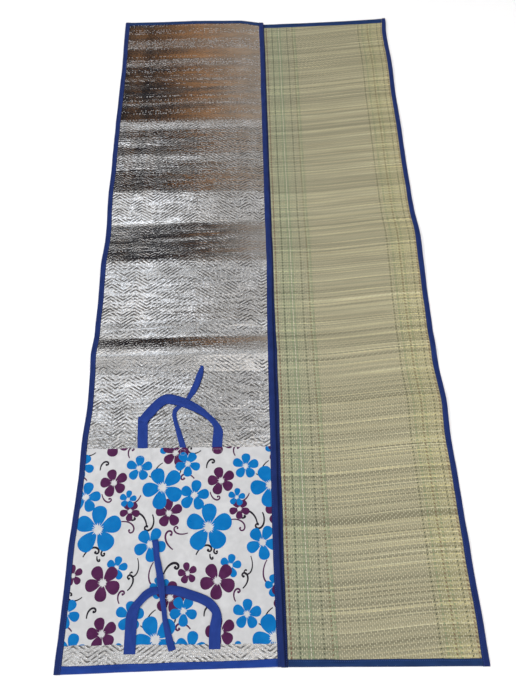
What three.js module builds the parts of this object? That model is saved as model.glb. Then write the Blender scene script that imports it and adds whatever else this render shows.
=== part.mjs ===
// Picnic mat lying open on the ground: two long leaves of woven straw backed with
// metallised film, each bound with folded tape, lapped and sewn together along the middle.
// The left leaf shows its film, a printed cover panel, two strap handles and two ties.
// Millimetres. x runs across the mat, y from its foot to its head, z up from the ground.

import * as THREE from 'three';

// Driving dimensions

const LENGTH = 1812;
const LEAF = 2.6;
const TAPE = 1;
const GAP = 0.3;
const BINDING_WIDTH = 13.5;
const STRAP_WIDTH = 23;
const RIBBON_WIDTH = 13;
const PANEL_FOOT = 54;
const PANEL_HEAD = 436;
const PANEL_SKEW = 8;
const TUCK = 22;
const RIBBON_STEP = 9;

// Worked out from them

const ROWS = 48;
const ROW = LENGTH / ROWS;
const SKIN = TAPE + GAP;
const FLAP = BINDING_WIDTH - SKIN;
const BARE = FLAP + GAP;
const SEAM_RISE = 3 * SKIN + GAP + LEAF;
const MARGIN = 42;
const SEAM_MARGIN = 70;

// The outer faces of the long bindings, as x. Rows are counted from the foot.
const OUTLINE = [
  { row: 0, left: -428.5, seamTop: 23, seamUnder: 15.5, right: 423 },
  { row: 2, left: -425, seamTop: 21, seamUnder: 15, right: 422.5 },
  { row: 6, left: -424.5, seamTop: 19, seamUnder: 14.5, right: 419 },
  { row: 10, left: -419, seamTop: 19, seamUnder: 14.5, right: 418.5 },
  { row: 12, left: -420.5, seamTop: 19, seamUnder: 15, right: 415.5 },
  { row: 14, left: -415.5, seamTop: 19.5, seamUnder: 15, right: 419 },
  { row: 17, left: -419, seamTop: 19.5, seamUnder: 14.5, right: 413.5 },
  { row: 20, left: -416.5, seamTop: 20, seamUnder: 13, right: 414.5 },
  { row: 24, left: -417.5, seamTop: 23, seamUnder: 12.5, right: 417 },
  { row: 26, left: -414.5, seamTop: 22.5, seamUnder: 12.5, right: 419 },
  { row: 29, left: -418, seamTop: 22, seamUnder: 12, right: 413 },
  { row: 35, left: -420, seamTop: 21, seamUnder: 11, right: 414 },
  { row: 39, left: -420.5, seamTop: 21.5, seamUnder: 11, right: 414 },
  { row: 43, left: -420, seamTop: 22, seamUnder: 11, right: 416.5 },
  { row: 46, left: -422.5, seamTop: 22, seamUnder: 10, right: 414 },
  { row: 48, left: -424, seamTop: 21.5, seamUnder: 9.5, right: 424.5 },
];

// How high the mat stands off the ground at its folds. It touches down between them.
const FOLDS = [
  { row: 0, left: 0, leftMiddle: 0, seam: 0, rightMiddle: 0, right: 0 },
  { row: 1, left: 0, leftMiddle: 0, seam: 0, rightMiddle: 0, right: 0 },
  { row: 2, left: 1, leftMiddle: 0, seam: 0, rightMiddle: 0, right: 2 },
  { row: 3, left: 0, leftMiddle: 0, seam: 0, rightMiddle: 0, right: 0 },
  { row: 5, left: 0, leftMiddle: 0, seam: 0, rightMiddle: 0, right: 0 },
  { row: 6, left: 2, leftMiddle: 1.5, seam: 1.5, rightMiddle: 2.5, right: 3 },
  { row: 7, left: 0, leftMiddle: 0, seam: 0, rightMiddle: 0, right: 0 },
  { row: 11, left: 0, leftMiddle: 0, seam: 0, rightMiddle: 0, right: 0 },
  { row: 12, left: 1, leftMiddle: 0, seam: 1, rightMiddle: 2, right: 2.5 },
  { row: 14, left: 1.5, leftMiddle: 0, seam: 1, rightMiddle: 1, right: 6 },
  { row: 16, left: 0, leftMiddle: 0, seam: 0, rightMiddle: 0, right: 0 },
  { row: 17, left: 0, leftMiddle: 0, seam: 0, rightMiddle: 0, right: 0 },
  { row: 18, left: 1.5, leftMiddle: 2, seam: 2, rightMiddle: 3, right: 2 },
  { row: 19, left: 0, leftMiddle: 0, seam: 0, rightMiddle: 0, right: 0 },
  { row: 21, left: 0, leftMiddle: 0, seam: 0, rightMiddle: 0, right: 0 },
  { row: 22, left: 2, leftMiddle: 3, seam: 2, rightMiddle: 2, right: 1 },
  { row: 24, left: 8, leftMiddle: 8, seam: 7, rightMiddle: 6, right: 4 },
  { row: 26, left: 1, leftMiddle: 0, seam: 1, rightMiddle: 2, right: 6 },
  { row: 28, left: 3, leftMiddle: 3, seam: 2, rightMiddle: 1, right: 2 },
  { row: 30, left: 6, leftMiddle: 7, seam: 6, rightMiddle: 4, right: 3 },
  { row: 32, left: 0, leftMiddle: 0, seam: 0, rightMiddle: 0, right: 0 },
  { row: 34, left: 0, leftMiddle: 0, seam: 0, rightMiddle: 0, right: 0 },
  { row: 36, left: 2, leftMiddle: 1, seam: 1, rightMiddle: 2, right: 3 },
  { row: 38, left: 0, leftMiddle: 0, seam: 0, rightMiddle: 0, right: 0 },
  { row: 40, left: 0, leftMiddle: 0, seam: 0, rightMiddle: 0, right: 0 },
  { row: 42, left: 3, leftMiddle: 4, seam: 3, rightMiddle: 2, right: 4 },
  { row: 44, left: 0, leftMiddle: 0, seam: 0, rightMiddle: 0, right: 0 },
  { row: 46, left: 0, leftMiddle: 0, seam: 0, rightMiddle: 0, right: 0 },
  { row: 48, left: 0, leftMiddle: 0, seam: 0, rightMiddle: 0, right: 3 },
];

// Where the columns of FOLDS lie, as x.
const FOLD_X = { left: -424, leftMiddle: -203, seam: 18, rightMiddle: 221, right: 424 };

// A leaf runs between two columns of OUTLINE. Its ends aren't quite square: footPast and
// headPast say how far they reach past the nominal length at its first edge, at its middle, at
// CORNER before its last edge and at its last edge.
const CORNER = 60;
const FOIL_LEAF = {
  first: 'left', last: 'seamTop', lastRise: SEAM_RISE, lastMargin: SEAM_MARGIN,
  middle: FOLD_X.leftMiddle, footPast: [1.5, -2, -4, -5], headPast: [-4, 0, -5, -22],
};
const STRAW_LEAF = {
  first: 'seamUnder', last: 'right', lastRise: SKIN, lastMargin: MARGIN,
  middle: FOLD_X.rightMiddle, footPast: [-3, 0, 2, 3], headPast: [-21, -12, -6, -1],
};

// The middle lines of the straps and ribbons, as x and the distance up from the foot.
// over is how much higher than its bed a strap or ribbon lies there.
const HANDLE_UPPER = [
  { x: -281, up: PANEL_HEAD - TUCK, over: 0 },
  { x: -282, up: 450, over: 0 },
  { x: -284, up: 480, over: 0 },
  { x: -281, up: 504, over: 0 },
  { x: -267, up: 521, over: 0 },
  { x: -250, up: 536, over: 0 },
  { x: -230, up: 546, over: 0.6 },
  { x: -205, up: 541, over: SKIN + 0.6 },
  { x: -178, up: 531, over: SKIN },
  { x: -150, up: 516, over: 0 },
  { x: -127, up: 496, over: 0 },
  { x: -114, up: 472, over: 0 },
  { x: -112, up: 450, over: 0 },
  { x: -114, up: PANEL_HEAD - TUCK, over: 0 },
];
const HANDLE_LOWER = [
  { x: -282, up: 31, over: 0 },
  { x: -282, up: 60, over: 0 },
  { x: -281, up: 90, over: 0 },
  { x: -275, up: 111, over: 0 },
  { x: -261, up: 129, over: 0 },
  { x: -242, up: 141, over: 0 },
  { x: -215, up: 145, over: 0 },
  { x: -185, up: 141, over: 0 },
  { x: -155, up: 132, over: 0 },
  { x: -129, up: 119, over: 0 },
  { x: -114, up: 101, over: 0 },
  { x: -112, up: 78, over: 0 },
  { x: -114, up: 37, over: 0 },
];
const TIE_UPPER = [
  { x: -190, up: PANEL_HEAD - TUCK, over: 0 },
  { x: -193, up: 438, over: 0 },
  { x: -202, up: 468, over: 0 },
  { x: -210, up: 492, over: 0 },
  { x: -212, up: 512, over: 0 },
  { x: -202, up: 528, over: 0 },
  { x: -186, up: 545, over: 0 },
  { x: -174, up: 563, over: 0 },
  { x: -163, up: 587, over: 0 },
  { x: -151, up: 623, over: 0 },
];
const TIE_LOWER = [
  { x: -198, up: 36, over: 0 },
  { x: -205, up: 58, over: 0 },
  { x: -212, up: 82, over: 0 },
  { x: -217, up: 107, over: 0 },
  { x: -221, up: 128, over: SKIN },
  { x: -225, up: 148, over: SKIN },
  { x: -229, up: 168, over: SKIN },
  { x: -236, up: 200, over: 0.2 },
  { x: -242, up: 240, over: GAP },
];

// Tables

function between(table, key, at, name, ease = (t) => t) {
  const next = table.findIndex((entry) => entry[key] >= at);
  if (next === 0) return table[0][name];
  if (next < 0) return table[table.length - 1][name];
  const [low, high] = [table[next - 1], table[next]];
  return THREE.MathUtils.lerp(low[name], high[name], ease((at - low[key]) / (high[key] - low[key])));
}

const rowOf = (y) => (y + LENGTH / 2) / ROW;
const yOf = (up) => up - LENGTH / 2;
const upOf = (y) => y + LENGTH / 2;
const soft = (t) => t * t * (3 - 2 * t);
const edgeX = (name, y) => between(OUTLINE, 'row', rowOf(y), name, soft);

// Shape of the lying leaves

function foldHeight(x, y) {
  const across = Object.keys(FOLD_X).map((name) => ({
    x: FOLD_X[name],
    height: between(FOLDS, 'row', rowOf(y), name),
  }));
  return between(across, 'x', x, 'height');
}

function endY(leaf, end, x) {
  const [first, middle, corner, last] = end < 0 ? leaf.footPast : leaf.headPast;
  const lastEdge = edgeX(leaf.last, end * LENGTH / 2);
  const past = between([
    { x: edgeX(leaf.first, end * LENGTH / 2), past: first },
    { x: leaf.middle, past: middle },
    { x: lastEdge - CORNER, past: corner },
    { x: lastEdge, past: last },
  ], 'x', x, 'past');
  return end * (LENGTH / 2 + past);
}

// A leaf stands on the tape folded under its edges, and comes down to the ground inside them.
function rise(inside, margin, height) {
  return height * (1 - THREE.MathUtils.clamp((inside - BARE) / (margin - BARE), 0, 1));
}

function underside(leaf, x, y) {
  const ends = Math.min(y - endY(leaf, -1, x), endY(leaf, 1, x) - y) - SKIN;
  const first = x - edgeX(leaf.first, y) - SKIN;
  const last = edgeX(leaf.last, y) - SKIN - x;
  return foldHeight(x, y) + Math.max(
    rise(ends, MARGIN, SKIN),
    rise(first, MARGIN, SKIN),
    rise(last, leaf.lastMargin, leaf.lastRise),
  );
}

const leafTop = (x, y) => underside(FOIL_LEAF, x, y) + LEAF;

// Closed solids

const raised = ([x, y, z], by) => [x, y, z + by];

function solid(positions, indices) {
  const geometry = new THREE.BufferGeometry();
  geometry.setAttribute('position', new THREE.Float32BufferAttribute(positions.flat(), 3));
  geometry.setIndex(indices);
  geometry.computeVertexNormals();
  return geometry;
}

// A sheet over a grid of points: its top, its underside and the rim between them.
function sheet(columns, rows, pointAt, thickness) {
  const positions = [];
  const indices = [];
  const at = (i, j, top) => 2 * (j * columns + i) + top;
  for (let j = 0; j < rows; j += 1) {
    for (let i = 0; i < columns; i += 1) {
      const [x, y, z] = pointAt(i, j);
      positions.push([x, y, z], [x, y, z + thickness]);
    }
  }
  const quad = (a, b, c, d) => indices.push(a, b, c, a, c, d);
  for (let j = 0; j + 1 < rows; j += 1) {
    for (let i = 0; i + 1 < columns; i += 1) {
      quad(at(i, j, 1), at(i + 1, j, 1), at(i + 1, j + 1, 1), at(i, j + 1, 1));
      quad(at(i, j, 0), at(i, j + 1, 0), at(i + 1, j + 1, 0), at(i + 1, j, 0));
    }
  }
  for (let i = 0; i + 1 < columns; i += 1) {
    quad(at(i, 0, 0), at(i + 1, 0, 0), at(i + 1, 0, 1), at(i, 0, 1));
    quad(at(i + 1, rows - 1, 0), at(i, rows - 1, 0), at(i, rows - 1, 1), at(i + 1, rows - 1, 1));
  }
  for (let j = 0; j + 1 < rows; j += 1) {
    quad(at(0, j + 1, 0), at(0, j, 0), at(0, j, 1), at(0, j + 1, 1));
    quad(at(columns - 1, j, 0), at(columns - 1, j + 1, 0), at(columns - 1, j + 1, 1), at(columns - 1, j, 1));
  }
  return solid(positions, indices);
}

// A section carried along stations. Each ring is the same number of points, and caps are the
// quads of ring points that close the two ends. turned says that the rings run the other way round.
function loft(rings, caps, turned = false) {
  const count = rings[0].length;
  const indices = [];
  for (let j = 0; j + 1 < rings.length; j += 1) {
    for (let i = 0; i < count; i += 1) {
      const [a, b] = [j * count + i, j * count + ((i + 1) % count)];
      indices.push(a, b, b + count, a, b + count, a + count);
    }
  }
  const end = (rings.length - 1) * count;
  for (const [a, b, c, d] of caps) {
    indices.push(a, d, c, a, c, b);
    indices.push(end + a, end + b, end + c, end + a, end + c, end + d);
  }
  if (turned) indices.reverse();
  return solid(rings.flat(), indices);
}

// Leaves

// Distances in from one edge of a leaf where its slope changes.
const insideEdge = (margin) => [0, BARE, margin];

function leafColumns(leaf, y) {
  const first = edgeX(leaf.first, y) + SKIN;
  const last = edgeX(leaf.last, y) - SKIN;
  const firstHalf = (first + MARGIN + leaf.middle) / 2;
  const lastHalf = (last - leaf.lastMargin + leaf.middle) / 2;
  return [
    ...insideEdge(MARGIN).map((inside) => first + inside),
    firstHalf, leaf.middle, lastHalf,
    ...insideEdge(leaf.lastMargin).map((inside) => last - inside).reverse(),
  ];
}

function leafRows(leaf, x) {
  const foot = endY(leaf, -1, x) + SKIN;
  const head = endY(leaf, 1, x) - SKIN;
  const rows = insideEdge(MARGIN).map((inside) => foot + inside);
  for (let row = 2; row <= ROWS - 2; row += 1) rows.push(row * ROW - LENGTH / 2);
  return [...rows, ...insideEdge(MARGIN).map((inside) => head - inside).reverse()];
}

const LEAF_COLUMNS = 9;
const LEAF_ROWS = ROWS + 3;

// The point of a leaf's grid, on its underside. Columns follow the long edges, rows the ends.
function leafPoint(leaf, i, j) {
  const nominal = leafRows(leaf, leaf.middle)[j];
  const x = leafColumns(leaf, nominal)[i];
  const y = leafRows(leaf, x)[j];
  return [x, y, underside(leaf, x, y)];
}

const leafSheet = (leaf) => sheet(LEAF_COLUMNS, LEAF_ROWS, (i, j) => leafPoint(leaf, i, j), LEAF);

// Bindings

const BINDING_CAPS = [[0, 1, 2, 3], [0, 3, 4, 7], [4, 5, 6, 7]];

// Tape folded round an edge, as a ring of eight points. edge is the leaf's grid point on that
// edge and inner the one BARE further in.
function bindingRing(edge, inner) {
  const point = (inside, height) => {
    const [x, y, z] = edge.map((value, k) => THREE.MathUtils.lerp(value, inner[k], inside / BARE));
    return [x, y, z + height];
  };
  return [
    point(-SKIN, -SKIN),
    point(FLAP, -SKIN),
    point(FLAP, -GAP),
    point(-GAP, -GAP),
    point(-GAP, LEAF + GAP),
    point(FLAP, LEAF + GAP),
    point(FLAP, LEAF + SKIN),
    point(-SKIN, LEAF + SKIN),
  ];
}

// Along a long edge, from just past the leaf's foot to just past its head.
function longBinding(leaf, last) {
  const [column, next] = last ? [LEAF_COLUMNS - 1, LEAF_COLUMNS - 2] : [0, 1];
  const rings = [];
  for (let j = 0; j < LEAF_ROWS; j += 1) {
    rings.push(bindingRing(leafPoint(leaf, column, j), leafPoint(leaf, next, j)));
  }
  const longer = (ring, by) => ring.map(([x, y, z]) => [x, y + by, z]);
  rings[0] = longer(rings[0], -SKIN);
  rings[LEAF_ROWS - 1] = longer(rings[LEAF_ROWS - 1], SKIN);
  return loft(rings, BINDING_CAPS, !last);
}

// Along the foot or the head, between the flaps of the two long bindings.
function endBinding(leaf, head) {
  const [row, next] = head ? [LEAF_ROWS - 1, LEAF_ROWS - 2] : [0, 1];
  const rings = [];
  for (let i = 1; i < LEAF_COLUMNS - 1; i += 1) {
    rings.push(bindingRing(leafPoint(leaf, i, row), leafPoint(leaf, i, next)));
  }
  return loft(rings, BINDING_CAPS, head);
}

// Cover panel

// What the panel covers along its head edge: the tucked ends of the handle and the tie.
const TUCKED = [
  { x: HANDLE_UPPER[0].x, width: STRAP_WIDTH },
  { x: TIE_UPPER[0].x, width: RIBBON_WIDTH },
  { x: HANDLE_UPPER.at(-1).x, width: STRAP_WIDTH },
];
const CLEAR = 3;
const SLOPE = 14;

// The panel is sewn on a little askew: it lies lower towards the seam.
const panelUp = (up, x) => up - PANEL_SKEW * (x - FOIL_LEAF.middle) / (FOLD_X.seam - FOLD_X.left);

function panelBulge(x, y) {
  const below = panelUp(PANEL_HEAD, x) - TUCK - CLEAR - upOf(y);
  const across = TUCKED.map((piece) => (Math.abs(x - piece.x) - piece.width / 2 - CLEAR) / SLOPE);
  const away = Math.max(below / SLOPE, Math.min(...across));
  return SKIN * (1 - THREE.MathUtils.clamp(away, 0, 1));
}

function panelSheet() {
  const sides = TUCKED.flatMap(({ x, width }) => [-1, 1].flatMap((side) => [
    x + side * (width / 2 + CLEAR),
    x + side * (width / 2 + CLEAR + SLOPE),
  ]));
  const columnsAt = (y) => [...leafColumns(FOIL_LEAF, y).slice(1, -1), ...sides].sort((a, b) => a - b);
  const bulge = PANEL_HEAD - TUCK - CLEAR;
  const leafUps = leafRows(FOIL_LEAF, FOIL_LEAF.middle).map(upOf);
  const square = leafUps.filter((up) => up > PANEL_FOOT + SLOPE && up < bulge - 2 * SLOPE);
  const rows = [
    (x) => panelUp(PANEL_FOOT, x),
    ...square.map((up) => () => up),
    ...[bulge - SLOPE, bulge, PANEL_HEAD].map((up) => (x) => panelUp(up, x)),
  ];
  const pointAt = (i, j) => {
    const x = columnsAt(yOf(rows[j](FOIL_LEAF.middle)))[i];
    const y = yOf(rows[j](x));
    return [x, y, leafTop(x, y) + GAP + panelBulge(x, y)];
  };
  return sheet(columnsAt(0).length, rows.length, pointAt, TAPE);
}

// Straps and ribbons

// The bed of what lies over the panel: the panel, and the film below its foot edge.
function panelBed(x, y) {
  const onPanel = THREE.MathUtils.clamp((upOf(y) - panelUp(PANEL_FOOT, x) + SLOPE) / (SLOPE - CLEAR), 0, 1);
  return leafTop(x, y) + SKIN * onPanel;
}

function ribbon(route, width, bed) {
  const curve = new THREE.CatmullRomCurve3(
    route.map(({ x, up, over }) => new THREE.Vector3(x, yOf(up), over)),
    false,
    'centripetal',
  );
  const steps = Math.round(curve.getLength() / RIBBON_STEP);
  const rings = [];
  for (let k = 0; k <= steps; k += 1) {
    const middle = curve.getPointAt(k / steps);
    const along = curve.getTangentAt(k / steps).setZ(0).normalize();
    const [left, right] = [-width / 2, width / 2].map((aside) => {
      const x = middle.x + along.y * aside;
      const y = middle.y - along.x * aside;
      return [x, y, bed(x, y) + GAP + middle.z];
    });
    rings.push([left, right, raised(right, TAPE), raised(left, TAPE)]);
  }
  return loft(rings, [[0, 1, 2, 3]], true);
}

// The mat

const FINISHES = {
  film: { color: 0xb9bcc2, roughness: 0.32, metalness: 1 },
  straw: { color: 0xa9a283, roughness: 0.75, metalness: 0 },
  tape: { color: 0x21348c, roughness: 0.8, metalness: 0 },
  print: { color: 0xdcdae2, roughness: 0.3, metalness: 0 },
};

const PIECES = [
  { name: 'leaf_foil_up', finish: 'film', geometry: leafSheet(FOIL_LEAF) },
  { name: 'leaf_straw_up', finish: 'straw', geometry: leafSheet(STRAW_LEAF) },
  { name: 'binding_foil_side', finish: 'tape', geometry: longBinding(FOIL_LEAF, false) },
  { name: 'binding_foil_seam', finish: 'tape', geometry: longBinding(FOIL_LEAF, true) },
  { name: 'binding_foil_foot', finish: 'tape', geometry: endBinding(FOIL_LEAF, false) },
  { name: 'binding_foil_head', finish: 'tape', geometry: endBinding(FOIL_LEAF, true) },
  { name: 'binding_straw_seam', finish: 'tape', geometry: longBinding(STRAW_LEAF, false) },
  { name: 'binding_straw_side', finish: 'tape', geometry: longBinding(STRAW_LEAF, true) },
  { name: 'binding_straw_foot', finish: 'tape', geometry: endBinding(STRAW_LEAF, false) },
  { name: 'binding_straw_head', finish: 'tape', geometry: endBinding(STRAW_LEAF, true) },
  { name: 'cover_panel', finish: 'print', geometry: panelSheet() },
  { name: 'handle_upper', finish: 'tape', geometry: ribbon(HANDLE_UPPER, STRAP_WIDTH, leafTop) },
  { name: 'handle_lower', finish: 'tape', geometry: ribbon(HANDLE_LOWER, STRAP_WIDTH, panelBed) },
  { name: 'tie_upper', finish: 'tape', geometry: ribbon(TIE_UPPER, RIBBON_WIDTH, leafTop) },
  { name: 'tie_lower', finish: 'tape', geometry: ribbon(TIE_LOWER, RIBBON_WIDTH, panelBed) },
];

const group = new THREE.Group();
for (const { name, finish, geometry } of PIECES) {
  const mesh = new THREE.Mesh(geometry, new THREE.MeshStandardMaterial(FINISHES[finish]));
  mesh.name = name;
  group.add(mesh);
}

// The origin is the middle of the mat's footprint, on the ground.
const box = new THREE.Box3().setFromObject(group);
const centre = box.getCenter(new THREE.Vector3());
group.position.set(-centre.x, -centre.y, -box.min.z);

export default group;
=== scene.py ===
import math

import bpy
import numpy as np
from mathutils import Euler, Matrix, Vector
from mathutils.bvhtree import BVHTree
from mathutils.geometry import delaunay_2d_cdt


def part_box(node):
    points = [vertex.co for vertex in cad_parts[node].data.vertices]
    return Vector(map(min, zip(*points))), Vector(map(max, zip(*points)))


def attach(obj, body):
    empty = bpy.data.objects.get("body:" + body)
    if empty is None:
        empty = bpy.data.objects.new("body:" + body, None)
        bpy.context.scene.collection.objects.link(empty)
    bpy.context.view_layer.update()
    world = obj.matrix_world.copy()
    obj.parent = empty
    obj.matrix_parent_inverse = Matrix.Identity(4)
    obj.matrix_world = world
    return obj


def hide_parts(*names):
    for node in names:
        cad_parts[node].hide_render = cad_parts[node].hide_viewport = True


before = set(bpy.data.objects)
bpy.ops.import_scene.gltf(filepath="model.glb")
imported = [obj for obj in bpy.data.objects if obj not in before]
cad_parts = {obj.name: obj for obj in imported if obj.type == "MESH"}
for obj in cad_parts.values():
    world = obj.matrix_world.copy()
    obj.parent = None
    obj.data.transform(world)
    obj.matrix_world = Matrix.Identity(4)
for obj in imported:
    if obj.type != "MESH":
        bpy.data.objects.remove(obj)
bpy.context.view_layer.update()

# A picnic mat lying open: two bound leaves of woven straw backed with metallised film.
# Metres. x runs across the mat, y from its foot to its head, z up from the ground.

# Thicknesses
LEAF = 0.0026
TAPE = 0.0008
FILM = 0.0003
STRAP = 0.0009

# Widths. SKIN is how far the folded tape stands out from the leaf, FLAP how far it reaches in,
# and STITCH_IN how far its stitches are from the flap's edge.
SKIN = 0.0013
FLAP = 0.0122
STITCH_IN = 0.0026
STRAP_WIDTH = 0.023
RIBBON_WIDTH = 0.015

# Pitches of the weave, and pitches and lengths of the stitches: those along the bindings, and
# those in the sewn squares at the straps' ends.
STRAW_PITCH = 0.00285
WARP_PITCH = 0.0043
STITCH_PITCH = 0.004
STITCH_LENGTH = 0.0029
SQUARE_PITCH = 0.003
SQUARE_LENGTH = 0.0022

# The frame is centred on the mat: x and up in the tables become x + MIDDLE and up + FOOT.
MIDDLE = 0.0024
FOOT = -0.9045

# The mat's length, for the tables that give places up from its foot.
LENGTH = 1.812

# The cover panel's ends, up from the mat's foot, how much they fall from the film leaf's left
# to its right, and how far in from that leaf's sides the panel's own sides lie.
PANEL_FOOT = 0.0465
PANEL_HEAD = 0.433
PANEL_SKEW = 0.0035
PANEL_SIDE = 0.0095

# The leaves' ends slant by less than this, so further in both side edges are there.
END_SLANT = 0.028

# The cell of the sheets and lattices, and how far the leaves' cloth stays inside the frame's.
CELL = 0.005
INSET = 0.001

# A little air between cloths that lie on each other.
AIR = 0.0001

# Across its width a leaf is nowhere steeper than this: it's too stiff to follow each step.
EASE = 0.018

# How much higher than the frame's relief the leaves lie at their creases, by the distance up
# from the foot. The creases are sharper than the frame's.
CREASES = [
    (0, 0), (0.61, 0), (0.634, 0.0033), (0.657, 0.0067), (0.706, -0.0012), (0.742, 0.0028),
    (0.8, 0.0012), (0.85, 0), (0.896, 0.0008), (0.911, 0.0014), (0.926, 0.0019), (0.941, 0.0018),
    (0.972, 0.0012), (0.987, 0.0013), (1.003, -0.0002), (1.018, -0.0015), (1.034, -0.0027),
    (1.067, -0.0018), (1.099, -0.0012), (1.14, 0), (1.243, 0), (1.266, 0.0017), (1.3, 0),
    (1.362, -0.0007), (1.388, 0.0015), (1.445, 0), (1.505, 0), (1.59, -0.0036), (1.65, 0), (LENGTH, 0),
]


# Numbers

def soft(t):
    """A smooth step from 0 to 1."""
    t = np.clip(t, 0, 1)
    return t * t * (3 - 2 * t)


def blurred(values, sigma, axis=0):
    """The values smoothed along one axis, with sigma in cells. The ends hold their value."""
    reach = int(math.ceil(3 * sigma))
    weights = np.exp(-0.5 * (np.arange(-reach, reach + 1) / sigma) ** 2)
    weights /= weights.sum()
    room = [(reach, reach) if k == axis else (0, 0) for k in range(values.ndim)]
    padded = np.pad(values, room, mode="edge")
    return np.apply_along_axis(lambda line: np.convolve(line, weights, "valid"), axis, padded)


def unit(vectors):
    """The vectors with length 1. Those without a length keep none."""
    return vectors / (np.linalg.norm(vectors, axis=-1, keepdims=True) + 1e-12)


def run_of(points, axis=0):
    """The length up to each point, along one axis of a grid of points."""
    first = points[:1] if axis == 0 else points[:, :1]
    strides = np.linalg.norm(np.diff(points, axis=axis, prepend=first), axis=-1)
    return np.cumsum(strides, axis=axis)


def waves(x, y, seed, lengths, slope, lean):
    """Low ripples, never below zero, whose crests run across the mat. lean is how far they turn."""
    random = np.random.default_rng(seed)
    total = np.zeros(np.broadcast(x, y).shape)
    for length in lengths:
        turn = random.uniform(-lean, lean)
        phase = random.uniform(0, 2 * math.pi)
        along = x * math.sin(turn) + y * math.cos(turn)
        height = slope * length / (2 * math.pi)
        total = total + height * (1 + np.sin(2 * math.pi * along / length + phase))
    return total


def ripple(x, y):
    """The leaves' small waves."""
    return waves(x, y, seed=11, lengths=np.geomspace(0.021, 0.11, 12), slope=0.008, lean=0.11)


CREASE_STEPS = np.arange(0, LENGTH, 0.002)
CREASE_LINE = blurred(np.interp(CREASE_STEPS, *zip(*CREASES)), 1.6)


def creased(x, y):
    """How much the creases add. They fade towards the straw leaf's far side."""
    return np.interp(y - FOOT, CREASE_STEPS, CREASE_LINE) * (1 - 0.6 * soft(x / 0.3))


def eased(heights, fall):
    """The lowest surface over the heights whose rows step by no more than fall."""
    columns = range(heights.shape[1])
    for order in (columns, columns[::-1]):
        for before, here in zip(order, order[1:]):
            heights[:, here] = np.maximum(heights[:, here], heights[:, before] - fall)
    return heights


# What the frame's nodes look like from above and below

def crossings(node, axis, places):
    """Where a node's edges cross each place on one axis: the lowest and highest on the other."""
    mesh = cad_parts[node].data
    points = np.array([vertex.co for vertex in mesh.vertices])
    first, second = (points[ends] for ends in np.array([edge.vertices for edge in mesh.edges]).T)
    spans = []
    for place in places:
        hit = (first[:, axis] - place) * (second[:, axis] - place) < 0
        a, b = first[hit], second[hit]
        t = (place - a[:, axis]) / (b[:, axis] - a[:, axis])
        met = (a + t[:, None] * (b - a))[:, 1 - axis]
        spans.append((met.min(), met.max()))
    return np.array(spans).T


# From this far inside a node's sides on, and over this width, its relief is smoothed more.
CALM_FROM = 0.08
CALM_OVER = 0.06


class Relief:
    """How high a node's underside lies, on a lattice of cells, a little smoothed."""

    def __init__(self, node, keen, easy):
        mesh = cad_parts[node].data
        faces = [tuple(polygon.vertices) for polygon in mesh.polygons]
        tree = BVHTree.FromPolygons([vertex.co for vertex in mesh.vertices], faces)
        self.low, high = (np.array(corner[:2]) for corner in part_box(node))
        self.shape = np.ceil((high - self.low) / CELL).astype(int) + 1
        rows = [self.seen_from_below(tree, j) for j in range(self.shape[1])]
        middle = len(rows) // 2
        for order in (range(middle, len(rows)), range(middle, -1, -1)):
            for before, j in zip(order, order[1:]):
                rows[j] = np.where(np.isnan(rows[j]), rows[before], rows[j])
        near = blurred(blurred(np.array(rows), keen, 0), keen, 1)
        wide = blurred(near, easy, 1)
        inside = np.minimum(np.arange(self.shape[0]), np.arange(self.shape[0])[::-1]) * CELL
        share = soft((inside - CALM_FROM) / CALM_OVER)
        self.heights = blurred(eased(near * (1 - share) + wide * share, EASE * CELL), 1.5, 1)

    def seen_from_below(self, tree, j):
        """One row of heights. Near the node's ends the places beside it stay empty."""
        y = self.low[1] + j * CELL
        row = np.full(self.shape[0], np.nan)
        for i in range(self.shape[0]):
            place = tree.ray_cast((self.low[0] + i * CELL, y, -1), (0, 0, 1))[0]
            if place is not None:
                row[i] = place.z
        if min(j, self.shape[1] - 1 - j) * CELL < END_SLANT:
            return row
        columns = np.flatnonzero(~np.isnan(row))
        return np.interp(np.arange(self.shape[0]), columns, row[columns])

    def cell(self, value, axis):
        """The number of the cell that a place is in along one axis, and the share of it passed."""
        place = np.clip((value - self.low[axis]) / CELL, 0, self.shape[axis] - 1.001)
        number = place.astype(int)
        return number, place - number

    def at(self, x, y):
        i, s = self.cell(x, 0)
        j, t = self.cell(y, 1)
        grid = self.heights
        near = grid[j, i] * (1 - s) + grid[j, i + 1] * s
        far = grid[j + 1, i] * (1 - s) + grid[j + 1, i + 1] * s
        return near * (1 - t) + far * t


class Leaf:
    """One leaf's outline and lie. u runs 0 to 1 across it, v from its foot to its head."""

    def __init__(self, node):
        low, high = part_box(node)
        self.node = node
        self.rows = np.arange(low.y + END_SLANT, high.y - END_SLANT, CELL)
        self.left, self.right = [blurred(edge, 2.5) for edge in crossings(node, 1, self.rows)]
        self.columns = np.arange(self.left.max() + 0.002, self.right.min() - 0.002, CELL)
        self.foot, self.head = crossings(node, 0, self.columns)
        self.width = float((self.right - self.left).mean())
        self.length = float((self.head - self.foot).mean())
        self.relief = Relief(node, keen=1.0, easy=7.0)

    def plan(self, u, v):
        """The place in plan of u, v, which may be arrays."""
        nominal = self.foot.mean() + v * self.length
        left = np.interp(nominal, self.rows, self.left)
        right = np.interp(nominal, self.rows, self.right)
        x = left + u * (right - left)
        foot = np.interp(x, self.columns, self.foot)
        head = np.interp(x, self.columns, self.head)
        return x, foot + v * (head - foot)

    def under(self, x, y):
        return np.maximum(self.relief.at(x, y) + creased(x, y), 0) + ripple(x, y)

    def top(self, x, y):
        return self.under(x, y) + LEAF


# Meshes

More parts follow.
